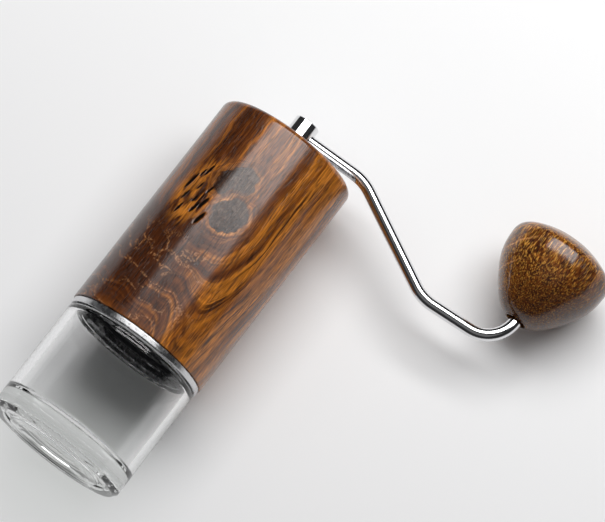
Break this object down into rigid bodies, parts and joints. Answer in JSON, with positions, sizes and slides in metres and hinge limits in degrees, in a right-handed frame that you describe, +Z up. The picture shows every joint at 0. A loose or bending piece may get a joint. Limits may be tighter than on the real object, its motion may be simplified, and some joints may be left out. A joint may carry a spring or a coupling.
{
  "type": "burr coffee grinder",
  "caption": "Hand-cranked burr coffee grinder with a wooden sleeve, a screw-on glass jar, a bent steel crank and a turned wooden knob.",
  "frame": {"origin": "centre of the foot of the glass jar, on the surface that the grinder stands on", "axes": "+Z up along the grinder's axis, towards the lid; +X from the axis towards the crank's knob"},
  "size_m": [0.1621, 0.06, 0.1848],
  "materials": {
    "wood": "oiled and polished, satin",
    "polished_steel": "mirror polished",
    "brushed_steel": "circular brushed, satin",
    "axle_steel": "ground",
    "burr_steel": "hardened, dark",
    "bearing_steel": "polished",
    "fastener_steel": "zinc plated",
    "spring_steel": "drawn wire and stamped strip",
    "bridge_aluminium": "machined and bead blasted",
    "black_plastic": "black, lightly polished",
    "dial_steel": "black oxide, satin",
    "brass": "turned",
    "silicone": "matt",
    "glass": "clear, polished"
  },
  "bodies": {
    "housing": {"wood_sleeve": "wood", "steel_tube": "brushed_steel", "bottom_collar": "polished_steel", "burr_carrier": "black_plastic", "outer_burr": "burr_steel", "carrier_screws": "fastener_steel", "lower_bridge": "bridge_aluminium", "upper_bridge": "bridge_aluminium", "bridge_screws": "fastener_steel", "lower_bearing_outer_race": "bearing_steel", "upper_bearing_outer_race": "bearing_steel", "bearing_shields": "bearing_steel"},
    "axle": {"axle": "axle_steel", "axle_drive_pin": "axle_steel", "end_circlip": "spring_steel", "upper_circlip": "spring_steel", "thrust_washer": "fastener_steel", "burr_spring": "spring_steel", "lower_bearing_inner_race": "bearing_steel", "upper_bearing_inner_race": "bearing_steel", "bearing_balls": "bearing_steel"},
    "burr": {"inner_burr": "burr_steel", "click_balls": "bearing_steel"},
    "dial": {"adjustment_dial": "dial_steel", "dial_thread_insert": "brass"},
    "lid": {"lid": "brushed_steel", "lid_seal_ring": "silicone", "hub_bush": "brass"},
    "crank": {"crank_hub": "polished_steel", "hub_circlip": "spring_steel", "hub_set_screw": "fastener_steel", "crank_rod": "polished_steel", "spindle_washer": "fastener_steel", "spindle_screw": "fastener_steel"},
    "knob": {"wood_knob": "wood", "knob_bushes": "black_plastic"},
    "jar_seal": {"jar_seal_ring": "silicone"},
    "jar": {"glass_jar": "glass"}
  },
  "joints": [
    {"name": "lid_lift", "type": "slide", "parent": "housing", "child": "lid", "axis": [0, 0, 1], "range_m": [0, 0.03]},
    {"name": "crank_spin", "type": "hinge", "parent": "lid", "child": "crank", "pos_m": [0, 0, 0.15], "axis": [0, 0, -1], "continuous": true},
    {"name": "knob_spin", "type": "hinge", "parent": "crank", "child": "knob", "pos_m": [0.1103, 0, 0.16], "axis": [0, 0, 1], "continuous": true},
    {"name": "axle_spin", "type": "hinge", "parent": "housing", "child": "axle", "pos_m": [0, 0, 0.1], "axis": [0, 0, -1], "continuous": true},
    {"name": "burr_gap", "type": "slide", "parent": "axle", "child": "burr", "axis": [0, 0, -1], "range_m": [0, 0.00121], "deforming": ["burr_spring"]},
    {"name": "dial_turn", "type": "hinge", "parent": "burr", "child": "dial", "pos_m": [0, 0, 0.056], "axis": [0, 0, -1], "range_deg": [0, 864]},
    {"name": "jar_drop", "type": "slide", "parent": "housing", "child": "jar_seal", "axis": [0, 0, -1], "range_m": [0, 0.01001]},
    {"name": "jar_turn", "type": "hinge", "parent": "jar_seal", "child": "jar", "pos_m": [0, 0, 0.03], "axis": [0, 0, -1], "range_deg": [0, 900]}
  ],
  "couplings": [
    {"joint": "axle_spin", "follows": "crank_spin", "ratio": 1},
    {"joint": "burr_gap", "follows": "dial_turn", "m_per_rad": 0.000079577},
    {"joint": "jar_drop", "follows": "jar_turn", "m_per_rad": 0.00063662}
  ]
}
